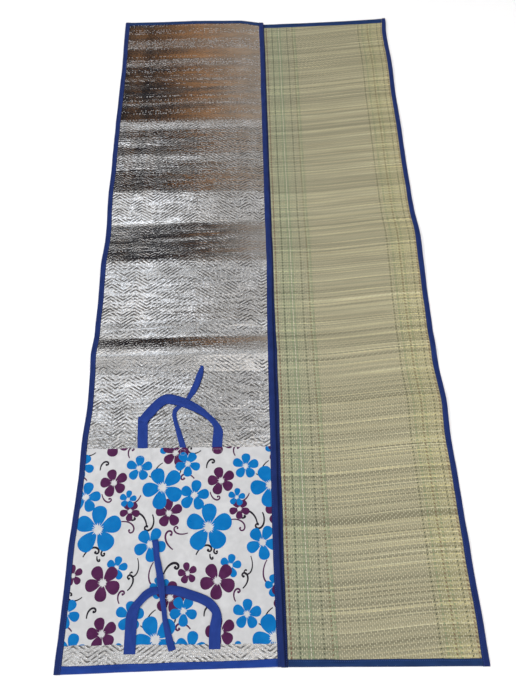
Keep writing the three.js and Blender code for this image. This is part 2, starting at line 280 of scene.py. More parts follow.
def mesh_piece(name, points, blocks, materials, kinds=None, grain=None):
    """A smooth mesh object. blocks are arrays of faces, kinds the material of each face, and
    grain the lengths across and along the weave at each point, once for a sheet's two sides."""
    mesh = bpy.data.meshes.new(name)
    faces = [face for block in blocks for face in block.tolist()]
    mesh.from_pydata(points.tolist(), [], faces, shade_flat=False)
    if kinds is not None:
        mesh.polygons.foreach_set("material_index", np.asarray(kinds, np.int32))
    for material in materials:
        mesh.materials.append(material)
    if grain is not None:
        lengths = np.stack(np.broadcast_arrays(*grain), axis=-1)
        lengths = np.resize(lengths, (len(points), 2))
        corners = np.concatenate([block.ravel() for block in blocks])
        layer = mesh.uv_layers.new(name="grain")
        layer.data.foreach_set("uv", lengths[corners].astype(np.float32).ravel())
    piece = bpy.data.objects.new(name, mesh)
    bpy.context.scene.collection.objects.link(piece)
    return piece


def quads(*corners):
    """Faces from the grids of their four corners' numbers."""
    return np.stack([corner.ravel() for corner in corners], axis=1)


def shell(bottom, top):
    """The points and quads of a closed sheet between two grids, and which side each quad is on:
    0 the top, 1 the underside and the rim."""
    count = top[..., 0].size
    under = np.arange(count).reshape(top.shape[:2])
    over = under + count
    ring = np.concatenate([under[0, :], under[1:, -1], under[-1, -2::-1], under[-2:0:-1, 0]])
    after = np.roll(ring, -1)
    blocks = [
        quads(over[:-1, :-1], over[:-1, 1:], over[1:, 1:], over[1:, :-1]),
        quads(under[:-1, :-1], under[1:, :-1], under[1:, 1:], under[:-1, 1:]),
        quads(ring, after, after + count, ring + count),
    ]
    kinds = np.repeat((0, 1, 1), [len(block) for block in blocks])
    return np.concatenate([bottom.reshape(-1, 3), top.reshape(-1, 3)]), blocks, kinds


def outward(points, blocks):
    """The faces turned so that they point out of the solid."""
    volume = 0
    for block in blocks:
        for k in range(1, block.shape[1] - 1):
            a, b, c = (points[block[:, i]] for i in (0, k, k + 1))
            volume += np.einsum("ij,ij->i", a, np.cross(b, c)).sum()
    return blocks if volume > 0 else [block[:, ::-1] for block in blocks]


def loft(rings):
    """The points and faces of a section carried along stations, closed at both ends."""
    index = np.arange(rings[..., 0].size).reshape(rings.shape[:2])
    near, far = index[:-1], index[1:]
    sides = quads(near, np.roll(near, -1, axis=1), np.roll(far, -1, axis=1), far)
    points = rings.reshape(-1, 3)
    return points, outward(points, [sides, np.stack([index[0][::-1], index[-1]])])


def finish_piece(piece, slot, *stands_for):
    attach(piece, "root")
    if stands_for:
        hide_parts(*stands_for)
    return piece


# Shader nodes

class Value:
    """One output of a node, with plain arithmetic."""

    def __init__(self, nodes, socket):
        self.nodes = nodes
        self.socket = socket

    def __add__(self, other):
        return self.nodes.math("ADD", self, other)

    def __sub__(self, other):
        return self.nodes.math("SUBTRACT", self, other)

    def __rsub__(self, other):
        return self.nodes.math("SUBTRACT", other, self)

    def __mul__(self, other):
        return self.nodes.math("MULTIPLY", self, other)

    def __truediv__(self, other):
        return self.nodes.math("DIVIDE", self, other)


class Nodes:
    """A node tree and short ways to add to it. Values go to a node's inputs in their order."""

    def __init__(self, tree):
        self.tree = tree
        tree.nodes.clear()

    def node(self, kind, *values, **settings):
        made = self.tree.nodes.new("ShaderNode" + kind)
        for name, value in settings.items():
            setattr(made, name, value)
        for socket, value in zip(made.inputs, values):
            self.fill(socket, value)
        return made

    def out(self, kind, *values, output=0, **settings):
        """One output of a new node."""
        return Value(self, self.node(kind, *values, **settings).outputs[output])

    def fill(self, socket, value):
        if isinstance(value, Value):
            self.tree.links.new(value.socket, socket)
        else:
            socket.default_value = value

    def named(self, made, **values):
        """The node's first output, once the inputs with these names are filled."""
        for name, value in values.items():
            self.fill(made.inputs[name.replace("_", " ")], value)
        return Value(self, made.outputs[0])

    def math(self, operation, *values):
        return self.out("Math", *values, operation=operation)

    def step(self, value, low, high, smooth=True):
        """0 below low and 1 above high."""
        kind = "SMOOTHSTEP" if smooth else "LINEAR"
        return self.out("MapRange", value, low, high, 0.0, 1.0, interpolation_type=kind)

    def spread(self, value, low, high):
        """A value of 0 to 1 spread to low to high."""
        return self.out("MapRange", value, 0.0, 1.0, low, high)

    def noise(self, vector, scale, detail=2.0, roughness=0.5):
        made = self.node("TexNoise", vector, noise_dimensions="3D")
        return self.named(made, Scale=scale, Detail=detail, Roughness=roughness)

    def noise_at(self, across, along, detail=2.0):
        """Noise over a plane."""
        return self.noise(self.out("CombineXYZ", across, along), 1.0, detail)

    def random(self, *parts):
        """An even random number for each set of whole numbers."""
        return self.out("TexWhiteNoise", self.out("CombineXYZ", *parts), noise_dimensions="3D")

    def ramp(self, value, stops, interpolation="LINEAR"):
        """Colours at places from 0 to 1."""
        made = self.node("ValToRGB", value)
        made.color_ramp.interpolation = interpolation
        elements = made.color_ramp.elements
        for place, colour in stops[1:-1]:
            elements.new(place)
        for element, (place, colour) in zip(sorted(elements, key=lambda e: e.position), stops):
            element.position = place
            element.color = (*colour, 1)
        return Value(self, made.outputs[0])

    def mix(self, share, a, b, blend="MIX"):
        made = self.node("Mix", data_type="RGBA", blend_type=blend)
        self.fill(made.inputs[0], share)
        for socket, value in zip((made.inputs[6], made.inputs[7]), (a, b)):
            self.fill(socket, (*value, 1) if isinstance(value, tuple) else value)
        return Value(self, made.outputs[2])

    def curve(self, value, points):
        """A curve of straight stretches through points whose places and values lie from 0 to 1."""
        made = self.node("FloatCurve", 1.0, value)
        line = made.mapping.curves[0]
        for place in points[1:-1]:
            line.points.new(*place)
        for point, place in zip(line.points, points):
            point.location = place
            point.handle_type = "VECTOR"
        made.mapping.update()
        return Value(self, made.outputs[0])

    def bump(self, height, distance, strength=1.0):
        return self.named(self.node("Bump"), Strength=strength, Distance=distance, Height=height)


def material(name):
    made = bpy.data.materials.new(name)
    made.use_nodes = True
    return made, Nodes(made.node_tree)


def surface(nodes, **values):
    """The material's shader, wired to its output."""
    nodes.node("OutputMaterial", nodes.named(nodes.node("BsdfPrincipled"), **values))


def grain(nodes):
    """The lengths across and along the weave, in metres."""
    parts = nodes.node("SeparateXYZ", nodes.out("UVMap", uv_map="grain"))
    return Value(nodes, parts.outputs[0]), Value(nodes, parts.outputs[1])


# The weave: each straw passes over two warp threads and under one, a thread further along in
# each row. Where the step turns round, the rows meet in a herringbone. The turns are shares of
# a leaf's width, and the first stretch steps up to the right.

FILM_TURNS = (0, 0.07, 0.14, 0.21, 0.28, 0.555, 0.81, 0.88, 0.94, 1)
STRAW_TURNS = (0, 0.055, 0.11, 0.165, 0.22, 0.81, 0.88, 0.94, 1)


def zigzag(nodes, share, width, turns):
    """How many warp threads the twill has stepped at a share of the leaf's width."""
    heights = [0]
    for k, (near, far) in enumerate(zip(turns, turns[1:])):
        heights.append(heights[-1] + (far - near) * (-1) ** k)
    low, high = min(heights), max(heights)
    points = [(u, (h - low) / (high - low)) for u, h in zip(turns, heights)]
    return nodes.curve(share, points) * ((high - low) * width / WARP_PITCH)


class Weave:
    """The weave's parts: the lengths across and along it, the share of the leaf's width, the
    straw row's and the warp thread's number, the place inside the row from -0.5 to 0.5, how far
    beside the nearest thread's middle (up to 0.5), and from 0 to 1 how full the row is there,
    how near the crossing thread is, and the diagonal ridges. bow is how much further up the
    rows lie at the right than at the left."""

    def __init__(self, nodes, width, turns, bow):
        self.nodes = nodes
        self.across, self.along = grain(nodes)
        self.share = self.across / width
        wander = (self.streaks(0.25, 0.045) - 0.5) * 0.0035
        rise = nodes.step(self.share, 0.2, 0.9) * bow
        rows = (self.along + (wander - rise)) / STRAW_PITCH
        self.row = nodes.math("FLOOR", rows)
        self.inside = nodes.math("FRACT", rows) - 0.5
        self.full = 1 - self.inside * self.inside * 4
        threads = self.across / WARP_PITCH
        self.thread = nodes.math("FLOOR", threads)
        self.beside = nodes.math("ABSOLUTE", nodes.math("FRACT", threads) - 0.5)
        stepped = zigzag(nodes, self.share, width, turns)
        phase = nodes.math("FRACT", (self.row - stepped) * (1 / 3))
        self.crossing = nodes.math("ABSOLUTE", phase - 0.5) * 2
        self.ridge = nodes.math("COSINE", (rows - stepped) * (2 * math.pi / 3)) * 0.5 + 0.5

    def streaks(self, wide, tall, detail=2.0):
        """Noise whose grains are about wide metres across the weave and tall along it."""
        return self.nodes.noise_at(self.across * (1 / wide), self.along * (1 / tall), detail)


# In the materials n is the node tree and w the weave.

# The film's colour where it is dull, and the depth of its grooves.
FOIL_TINT = (0.84, 0.835, 0.83)
GROOVE = 0.00026

# How deep the film's weave shows, by the share of the leaf's length up from its foot.
RELIEF = [
    (0, 1), (0.354, 1), (0.362, 0.25), (0.386, 0.25), (0.392, 1), (0.503, 1),
    (0.511, 0.3), (0.57, 0.3), (0.578, 1), (0.752, 1), (0.765, 0.25), (1, 0.25),
]
# How much the film is crumpled, by the same share. The most crumpled bands sparkle.
CRUMPLED = [
    (0, 0.9), (0.026, 0.9), (0.031, 0.3), (0.24, 0.3), (0.36, 0.42), (0.5, 0.3), (0.51, 0.12),
    (0.575, 0.12), (0.585, 0.32), (0.62, 0.32), (0.68, 0.2), (0.69, 0.5), (0.7, 0.25), (0.75, 0.3),
    (0.757, 0.85), (0.768, 0.85), (0.775, 0.25), (0.803, 0.25), (0.809, 0.8), (0.815, 0.2),
    (0.855, 0.2), (0.862, 0.8), (0.87, 0.25), (0.888, 0.25), (0.894, 0.75), (0.906, 0.7),
    (0.913, 0.25), (0.932, 0.35), (0.937, 1), (0.95, 1), (0.957, 0.35), (1, 0.35),
]


def sparkles(n, w, crumpled):
    """1 at a few of the weave's cells, in some rows, more where the film is crumpled."""
    rows = n.step(n.random(w.row, 3.0) + crumpled * 0.35, 0.9, 0.94)
    picked = n.step(n.random(w.row, w.thread, 4.0), 0.66, 0.7)
    narrow = 1 - n.step(w.beside, 0.22, 0.3)
    return rows * picked * (narrow * n.step(w.full, 0.2, 0.6))


def metallised_film(width, length):
    """Thin shiny film pressed into the weave under it. It stays flat between the twill's
    grooves, which are deeper in some bands of straw, and leans a little with each few straws."""
    made, n = material("metallised_film")
    w = Weave(n, width, FILM_TURNS, bow=0)
    height_share = w.along / length
    depth = n.spread(n.step(w.streaks(0.05, 0.008, 3.0), 0.4, 0.6), 0.05, 1.25)
    relief = n.curve(height_share, RELIEF)
    groove = n.step(w.ridge, 0.3, 0.9) * depth * relief
    pressed = groove * GROOVE + n.step(w.full, 0.0, 0.5) * 0.00002
    lie = w.streaks(0.045, 0.0055, 1.0) * 0.00045
    facets = w.streaks(0.01, 0.0042, 1.0) * 0.00032
    leaning = (lie + facets) * n.spread(relief, 0.2, 1.0)
    crumpled = n.curve(height_share, CRUMPLED)
    crumple = w.streaks(0.006, 0.003) * (crumpled * 0.0009)
    sparkle = sparkles(n, w, crumpled)
    turned_up = sparkle * w.inside * (0.3 * STRAW_PITCH)
    worn = n.step(w.streaks(0.09, 0.045, 3.0), 0.34, 0.66)
    film = n.mix(worn, (0.99, 0.99, 1), FOIL_TINT)
    # Painted shade: the film's colour is darkened in the twill's grooves, standing in for the shade that
    # falls there.
    film = n.mix(groove * 0.75, film, (0.16, 0.155, 0.155))
    surface(
        n,
        Base_Color=n.mix(sparkle, film, (0.96, 0.96, 0.97)),
        Metallic=1.0,
        Roughness=n.spread(worn, 0.05, 0.13) + n.math("MAXIMUM", sparkle, groove) * 0.26,
        Normal=n.bump(pressed + leaning + (crumple + turned_up), 1.0),
    )
    return made


# Colours of the warp threads, by their number from the left. The others are pale.
PALE = (0.51, 0.48, 0.34)
DARK = (0.015, 0.03, 0.02)
GREEN = (0.18, 0.27, 0.15)
CREAM = (0.6, 0.58, 0.46)
RED = (0.14, 0.05, 0.035)
THREADS = {
    4: RED, 8: DARK, 12: GREEN, 13: CREAM, 14: GREEN, 19: DARK, 23: RED, 25: GREEN,
    72: DARK, 75: GREEN, 79: RED, 81: GREEN, 86: DARK, 89: RED,
}
# The straw's own tint over the leaf's width.
TINTS = [
    (0, (0.345, 0.325, 0.225)), (0.1, (0.305, 0.325, 0.215)), (0.245, (0.335, 0.32, 0.22)),
    (0.252, (0.32, 0.335, 0.215)), (0.268, (0.32, 0.335, 0.215)), (0.276, (0.355, 0.33, 0.225)),
    (0.76, (0.37, 0.34, 0.225)), (0.84, (0.38, 0.36, 0.205)), (1, (0.455, 0.4, 0.24)),
]
# How much each row of straw differs from the tint, from the dark rows to the pale ones.
SHADES = [
    (0, (0.44, 0.44, 0.42)), (0.35, (0.76, 0.77, 0.75)), (0.7, (1.02, 1.01, 0.96)),
    (1, (1.6, 1.55, 1.36)),
]


def straw_rows(n, w, streak):
    """The straws' colour: each row has its own tone, a few rows glint with a painted highlight, and where
    some rows gape the gaps get painted shade.
    """
    patch = w.streaks(0.5, 0.03, 3.0)
    tone = n.random(w.row, 1.0) * 0.55 + (streak * 0.5 + patch * 0.15)
    shade = n.ramp(n.step(tone, 0.22, 0.98, smooth=False), SHADES)
    straw = n.mix(1.0, n.ramp(w.share, TINTS), shade, "MULTIPLY")
    # Painted highlight: a few rows are painted pale along their middles, more of them towards the right.
    rare = n.step(n.random(w.row, 5.0), 0.86, 0.98)
    glint = rare * n.step(w.share * 0.7 + streak * 0.9, 0.55, 1.0) * n.step(w.full, 0.35, 0.75)
    straw = n.mix(glint * 0.65, straw, (0.7, 0.65, 0.42))
    # Painted shade: where rows gape, the gaps between them are painted dark.
    gaping = n.step(n.random(w.row, 9.0), 0.5, 0.75) * n.step(streak, 0.38, 0.58)
    between = 1 - n.step(w.full, 0.0, n.spread(gaping, 0.35, 1.15))
    return n.mix(between * n.spread(gaping, 0.4, 0.95), straw, (0.075, 0.07, 0.04))


def thread_ramp(n, w, width, colours, plain):
    """The colour of the warp thread at each place. Those without a colour of their own are plain."""
    step = WARP_PITCH / width
    stops = {0: plain}
    for number, colour in sorted(colours.items()):
        stops[number * step] = colour
        stops[(number + 1) * step] = plain
    return n.ramp(w.share, sorted(stops.items()), "CONSTANT")


def woven_straw(width):
    """Split straw with coloured warp threads."""
    made, n = material("woven_straw")
    w = Weave(n, width, STRAW_TURNS, bow=0.018)
    streak = n.noise_at(w.across * 6, w.row * 5.3)
    straw = straw_rows(n, w, streak)
    on_thread = 1 - n.step(w.beside, 0.15, 0.24)
    dyed = thread_ramp(n, w, width, dict.fromkeys(THREADS, (1, 1, 1)), (0, 0, 0))
    uneven = n.random(w.row, w.thread, 6.0) * 0.3 - 0.2
    over = w.crossing + (dyed * 0.14 + uneven * (1 - dyed))
    thread = on_thread * n.step(over, 0.5, 0.72)
    # Painted shade: the straw is darkened in the pits beside the crossing threads.
    pit_shade = n.step(over, 0.3, 0.75) * (1 - on_thread)
    straw = n.mix(pit_shade * 0.45, straw, (0.15, 0.14, 0.08))
    height = w.full * 0.00034 + (w.ridge * 0.00022 + thread * 0.0001)
    fibre = w.streaks(0.016, 0.0004) * 0.0001
    surface(
        n,
        Base_Color=n.mix(thread, straw, thread_ramp(n, w, width, THREADS, PALE)),
        Roughness=n.spread(streak, 0.42, 0.66),
        Normal=n.bump(height + fibre, 1.0),
        Specular_IOR_Level=0.4,
    )
    return made


def tape_cloth(name, colour, pale, ribs):
    """Dull woven tape: fine ribs across its length and a little unevenness in its dye."""
    made, n = material(name)
    across, along = grain(n)
    cloth = n.math("SINE", across * (2 * math.pi / ribs)) * n.math("SINE", along * (2 * math.pi / ribs))
    uneven = n.noise_at(across * 90, along * 30, 4.0)
    fuzz = n.noise_at(across * 2200, along * 2200)
    surface(
        n,
        Base_Color=n.mix(n.step(uneven * 0.6 + fuzz * 0.4, 0.3, 0.7), colour, pale),
        Roughness=n.spread(fuzz, 0.72, 0.88),
        Sheen_Weight=0.08,
        Sheen_Roughness=0.4,
        Specular_IOR_Level=0.2,
        Normal=n.bump(cloth + uneven * 3, 0.00008, 0.8),
    )
    return made


def printed(name, colour, worn_to, shine):
    """Glossy printed film, faintly wrinkled."""
    made, n = material(name)
    place = n.out("TexCoord", output="Object")
    wrinkle = n.noise(place, 38.0, 4.0, 0.6)
    dye = n.noise(place, 60.0, 3.0)
    surface(
        n,
        Base_Color=n.mix(n.step(dye, 0.35, 0.75), colour, worn_to),
        Roughness=n.spread(dye, 0.24, 0.36),
        Specular_IOR_Level=shine,
        Normal=n.bump(wrinkle + n.noise(place, 900.0, 1.0) * 0.05, 0.0012, 0.6),
    )
    return made


def sewing_thread(name, colour):
    made, n = material(name)
    twist = n.noise(n.out("TexCoord", output="Object"), 2500.0, 1.0)
    surface(
        n,
        Base_Color=n.mix(twist, colour, tuple(1.4 * c for c in colour)),
        Roughness=n.spread(twist, 0.55, 0.7),
        Normal=n.bump(twist, 0.0001),
    )
    return made


# Leaves

def leaf_piece(leaf, top_material, under_material, slot):
    u, v = np.meshgrid(*[
        np.linspace(INSET / size, 1 - INSET / size, int(round(size / CELL)) + 1)
        for size in (leaf.width, leaf.length)
    ])
    x, y = leaf.plan(u, v)
    under = leaf.under(x, y)
    points, blocks, kinds = shell(np.stack([x, y, under], -1), np.stack([x, y, under + LEAF], -1))
    piece = mesh_piece(
        leaf.node.replace("leaf_", "laid_leaf_"), points, blocks, [top_material, under_material],
        kinds, (u * leaf.width, v * leaf.length),
    )
    return finish_piece(piece, slot, leaf.node)


# Bindings

# How many points a tape's fold has, and how far in from the leaf's edge the fold starts.
ARC = 9
HOLLOW = 0.0022

# Which point of the binding's outline the stitches lie on: the upper side at the pressed line.
SEAM_POINT = 3 + ARC + 3


def thick(line, thickness):
    """The closed outline of a line of that thickness. line is (stations, points, 2)."""
    ahead = np.concatenate([line[:, 1:], 2 * line[:, -1:] - line[:, -2:-1]], axis=1)
    behind = np.concatenate([2 * line[:, :1] - line[:, 1:2], line[:, :-1]], axis=1)
    along = unit(ahead - behind)
    side = np.stack([-along[..., 1], along[..., 0]], axis=2) * thickness / 2
    last = line[:, -1:] + along[:, -1:] * thickness / 3
    first = line[:, :1] - along[:, :1] * thickness / 3
    return np.concatenate([line + side, last, (line - side)[:, ::-1], first], axis=1)


def binding_line(stations, seed, lift, wide):
    """The middle of the folded tape, as the length in from the edge and the height over the
    leaf's underside, at each station. lift is how much the upper flap is held up there, and
    wide how far the flaps reach in."""
    random = np.random.default_rng(seed)

    def uneven(size, sigma):
        values = blurred(random.normal(size=stations), sigma)
        return size * values / values.std()

    half = TAPE / 2
    flap = wide + uneven(0.0003, 6) + uneven(0.00015, 2)
    hollow = np.full(stations, HOLLOW)
    under = np.full(stations, half - SKIN)
    reach = HOLLOW + SKIN - half + uneven(0.00012, 4)
    swell = LEAF / 2 + SKIN - half + uneven(0.0001, 3)
    arc = [
        (HOLLOW - reach * math.sin(turn), LEAF / 2 - swell * math.cos(turn))
        for turn in np.linspace(0, math.pi, ARC + 2)[1:-1]
    ]
    top = LEAF + SKIN - half
    pressed = LEAF + half + 0.00008 + lift
    puff = uneven(0.00012, 1.2)
    points = [
        (flap, under + 0.0002),
        (flap * 0.6, under),
        (hollow, under),
        *arc,
        (hollow, top + lift * 0.2),
        (flap * 0.42, top - 0.0001 + puff + lift * 0.5),
        (flap - STITCH_IN - 0.0014, pressed + 0.00022 + puff * 0.5),
        (flap - STITCH_IN, pressed),
        (flap - STITCH_IN + 0.0012, pressed + 0.00012),
        (flap, pressed + 0.00004 + np.abs(uneven(0.00012, 1.5))),
    ]
    return np.stack([np.stack([inward, height], axis=1) for inward, height in points], axis=1)


def held_up(leaf, along):
    """How much the panel's edge holds up the long bindings' upper flap."""
    up = along / leaf.length * LENGTH
    return 0.0004 * soft((up - PANEL_FOOT + 0.006) / 0.004) * (1 - soft((up - PANEL_HEAD - 0.002) / 0.004))


def binding_piece(leaf, side, node, cloth, held, extra, seed):
    """Tape folded round one side of a leaf, and the line of its stitches. held is whether the
    panel holds its flap up, and extra how much wider than FLAP its flaps are."""
    long = side in ("left", "right")
    length, width = (leaf.length, leaf.width) if long else (leaf.width, leaf.length)
    first, last = (-SKIN, length + SKIN) if long else (FLAP, length - FLAP)
    stations = int(round((last - first) / CELL)) + 1
    along = np.linspace(first, last, stations)
    lift = held_up(leaf, along) if held else np.zeros(stations)
    outline = thick(binding_line(stations, seed, lift, FLAP + extra), TAPE)
    share = outline[..., 0] / width
    if side in ("right", "head"):
        share = 1 - share
    down = np.broadcast_to((along / length)[:, None], share.shape)
    u, v = (share, down) if long else (down, share)
    x, y = leaf.plan(u, v)
    z = leaf.under(*leaf.plan(np.clip(u, 0, 1), np.clip(v, 0, 1))) + outline[..., 1]
    rings = np.stack([x, y, z], axis=-1)
    name = node.replace("binding_", "folded_tape_")
    piece = mesh_piece(name, *loft(rings), [cloth], grain=(run_of(outline[:1], axis=1), along[:, None]))
    return finish_piece(piece, "edge_tape", node), rings[:, SEAM_POINT]


# Stitches

# A stitch's sections: their share of its length, their height and their radius.
STITCH_RINGS = (
    (0, -0.00045, 0.00012), (0.14, 0, 0.00026), (0.5, 0.0001, 0.0003), (0.86, 0, 0.00026),
    (1, -0.00045, 0.00012),
)
STITCH_SIDES = 5


def stitch_rings(line, pitch, length):
    """The sections of each stitch along a line of points."""
    run = run_of(line)
    starts = np.arange(0.0006, run[-1] - length, pitch)

    def place(at):
        return np.stack([np.interp(at, run, line[:, k]) for k in range(3)], axis=1)

    rings = []
    for share, height, radius in STITCH_RINGS:
        at = starts + share * length
        along = unit(place(at + 0.001) - place(at - 0.001))
        side = np.stack([-along[:, 1], along[:, 0], 0 * along[:, 0]], axis=1)
        up = np.cross(along, side)
        rings.append(np.stack([
            place(at) + side * radius * math.cos(turn) + up * (height + radius * 0.7 * math.sin(turn))
            for turn in np.arange(STITCH_SIDES) * 2 * math.pi / STITCH_SIDES
        ], axis=1))
    return np.stack(rings, axis=1)


def stitch_piece(name, lines, thread, slot, pitch, length):
    """A row of stitches along each line of points, as one piece."""
    rings = np.concatenate([stitch_rings(line, pitch, length) for line in lines])
    index = np.arange(rings[..., 0].size).reshape(rings.shape[:3])
    near, far = index[:, :-1], index[:, 1:]
    sides = quads(near, far, np.roll(far, -1, axis=2), np.roll(near, -1, axis=2))
    caps = np.concatenate([index[:, 0], index[:, -1, ::-1]])
    points = rings.reshape(-1, 3)
    return finish_piece(mesh_piece(name, points, outward(points, [sides, caps]), [thread]), slot)


def sewn_squares(squares, bed, raised):
    """Each sewn square (x, up, width, height) as four lines of points on its bed."""
    corners = [(-1, -1), (1, -1), (1, 1), (-1, 1), (-1, -1)]
    lines = []
    for x, up, width, height in squares:
        for (a, b), (c, d) in zip(corners, corners[1:]):
            t = np.linspace(0, 1, 12)
            px = x + MIDDLE + (a + (c - a) * t) * width / 2
            py = up + FOOT + (b + (d - b) * t) * height / 2
            lines.append(np.stack([px, py, bed(px, py) + raised], axis=1))
    return lines


# Cover panel

# The film leaf's middle and its width with the tapes, over which the panel's ends are skewed.
FILM_MIDDLE = -0.203
FILM_SPAN = 0.442
PANEL_CELL = 0.0065

# The print starts this far outside the panel's corner and repeats every REPEAT metres.
PRINT_START = 0.013
REPEAT = (0.236, 0.292)
WHITE, BLUE, PLUM, BLACK = range(4)

# Each flower's x, up, radius, turn and ink. Later rows are printed over earlier ones.
FLOWERS = [
    (0.062, 0.232, 0.05, 0.3, BLUE), (0.176, 0.2, 0.034, 1.05, BLUE),
    (0.02, 0.143, 0.021, 0.5, PLUM), (0.108, 0.156, 0.023, 0.1, BLUE),
    (0.082, 0.128, 0.037, 0.85, PLUM), (0.2, 0.118, 0.022, 0.6, BLUE),
    (0.222, 0.098, 0.031, 1.35, PLUM), (0.014, 0.074, 0.028, 0.95, BLUE),
    (0.142, 0.066, 0.029, 0.25, BLUE), (0.088, 0.036, 0.031, 0.55, PLUM),
    (0.196, 0.024, 0.046, 0.75, BLUE), (0.03, 0.006, 0.033, 0.15, BLUE),
    (0.128, 0.268, 0.022, 0.9, PLUM), (0.122, 0, 0.019, 0.2, BLUE),
    (0.212, 0.262, 0.03, 0.4, PLUM),
]
# Each tendril's x, up, heading, length, bend, curl, width and ink.
TENDRILS = [
    (0.02, 0.222, 3.5, 0.06, -1.4, -4, 0.0021, PLUM),
    (0.104, 0.245, 0.3, 0.075, -1.9, -3.6, 0.0021, PLUM),
    (0.166, 0.232, 1.6, 0.092, 2.3, 3.9, 0.0028, BLACK),
    (0.186, 0.168, 4.1, 0.085, 1.5, 2.9, 0.0021, PLUM),
    (0.15, 0.176, 5.1, 0.07, -1.3, -4.2, 0.0018, BLACK),
    (0.066, 0.18, 4.6, 0.02, 1, 3.6, 0.0023, BLACK),
    (0.044, 0.104, 3.9, 0.064, -2.2, -3.9, 0.0021, BLACK),
    (0.206, 0.14, 1.3, 0.07, -1.7, -4.3, 0.0031, BLACK),
    (0.196, 0.078, 3.6, 0.08, 2, 3.5, 0.002, BLACK),
    (0.12, 0.088, 2.2, 0.05, -2.1, -3.8, 0.0023, PLUM),
    (0.056, 0.062, 1.7, 0.048, -2, -3.6, 0.0025, BLACK),
    (0.164, 0.05, 5.6, 0.034, 1.2, 4.4, 0.002, BLACK),
    (0.064, 0.014, 4.9, 0.05, 1.6, 4, 0.0021, PLUM),
    (0.15, 0.01, 4.4, 0.056, -1.7, -4, 0.0023, PLUM),
    (0.232, 0.052, 1.1, 0.04, 1.9, 3.9, 0.0025, BLACK),
    (0.036, 0.176, 1.2, 0.07, -1.8, -4, 0.0026, BLACK),
    (0.132, 0.112, 0.6, 0.06, 1.9, 4, 0.0024, BLACK),
    (0.226, 0.188, 2.6, 0.075, -1.6, -3.8, 0.0026, PLUM),
    (0.096, 0.196, 3, 0.05, 1.8, 4.1, 0.0023, BLACK),
    (0.176, 0.262, 5.2, 0.07, -1.9, -3.9, 0.0026, BLACK),
    (0.03, 0.04, 2.2, 0.06, 1.9, 3.8, 0.0024, PLUM),
]

# The strap ends that lie under the panel's head edge: their middles, half widths and heights.
# The panel is lifted in full up to TUCK_AIR beside them, and then falls over TUCK_RISE.
TUCKED = [(-0.281, 0.0115, 0.0016), (-0.19, 0.007, 0.0025), (-0.1135, 0.0115, 0.0016)]
TUCK_FOOT = 0.414
TUCK_AIR = 0.0065
TUCK_RISE = 0.006


def over_tucked(x, y):
    """How far the panel is lifted by the strap ends under it."""
    lifted = np.zeros_like(x)
    beyond = soft((y - FOOT - TUCK_FOOT + TUCK_AIR) / TUCK_RISE + 1)
    for middle, half, height in TUCKED:
        aside = (np.abs(x - MIDDLE - middle) - half - TUCK_AIR) / TUCK_RISE
        lifted = np.maximum(lifted, height * beyond * (1 - soft(aside)))
    return lifted


def turned_to(heading, along, aside):
    """The points that lie along and aside in a direction, as rows of x and up."""
    x = along * math.cos(heading) - aside * math.sin(heading)
    up = along * math.sin(heading) + aside * math.cos(heading)
    return np.stack([x, up], axis=1)


def petals(x, up, radius, turn, ink, random):
    """The outlines of a flower's petals, and of its pale centre."""
    outlines = []
    turns = np.linspace(0, 2 * math.pi, 26, endpoint=False)
    for k in range(5):
        size = radius * random.uniform(0.94, 1.04)
        wide = radius * random.uniform(0.37, 0.41)
        heading = turn + k * 2 * math.pi / 5 + random.uniform(-0.05, 0.05)
        reach = (1 - np.cos(turns)) / 2
        along = size * (0.07 + 0.93 * reach)
        aside = wide * np.sin(turns) * (0.3 + 0.85 * reach ** 0.75)
        outlines.append((np.array([x, up]) + turned_to(heading, along, aside), ink))
    turns = np.linspace(0, 2 * math.pi, 34, endpoint=False)
    reach = np.where(np.arange(turns.size) % 2 == 0, 0.155, 0.24) * radius
    reach = reach * random.uniform(0.85, 1.3, turns.size)
    outlines.append((np.stack([x + reach * np.cos(turns), up + reach * np.sin(turns)], axis=1), WHITE))
    return outlines


def tendril_outline(x, up, heading, length, bend, curl, width):
    """A stem that bends one way and ends in a curl with a round tip."""
    share = np.linspace(0, 1, 34)
    heading = heading + bend * share + curl * share ** 4
    ahead = np.stack([np.cos(heading), np.sin(heading)], axis=1)
    stride = length / share.size * (1 - 0.35 * share)
    middle = np.array([x, up]) + np.cumsum(ahead * stride[:, None], axis=0)
    half = width * (0.6 + 0.375 * np.sin(math.pi * share * 0.8) + 0.5625 * soft((share - 0.93) / 0.05))
    side = np.stack([-ahead[:, 1], ahead[:, 0]], axis=1) * half[:, None] / 1.2
    tip = middle[-1] + ahead[-1] * half[-1] * 0.7
    return np.concatenate([middle + side, tip[None], (middle - side)[::-1]])


def facing_up(outline):
    """The outline with its points in anticlockwise order."""
    x, y = outline.T
    return outline if (x * np.roll(y, -1) - y * np.roll(x, -1)).sum() > 0 else outline[::-1]


def motifs(low, high):
    """Every outline of the print that reaches into a rectangle, in the order it is printed."""
    random = np.random.default_rng(5)
    across, up = [range(math.floor(a / size) - 1, math.ceil(b / size) + 1)
                  for a, b, size in zip(low, high, REPEAT)]
    found = []
    for drawn in (
        [(tendril_outline(*sizes), ink) for *sizes, ink in TENDRILS],
        [outline for flower in FLOWERS for outline in petals(*flower, random)],
    ):
        for i in across:
            for j in up:
                for outline, ink in drawn:
                    moved = outline + np.array([i * REPEAT[0], j * REPEAT[1]])
                    if (moved.max(0) > low).all() and (moved.min(0) < high).all():
                        found.append((moved, ink))
    return found


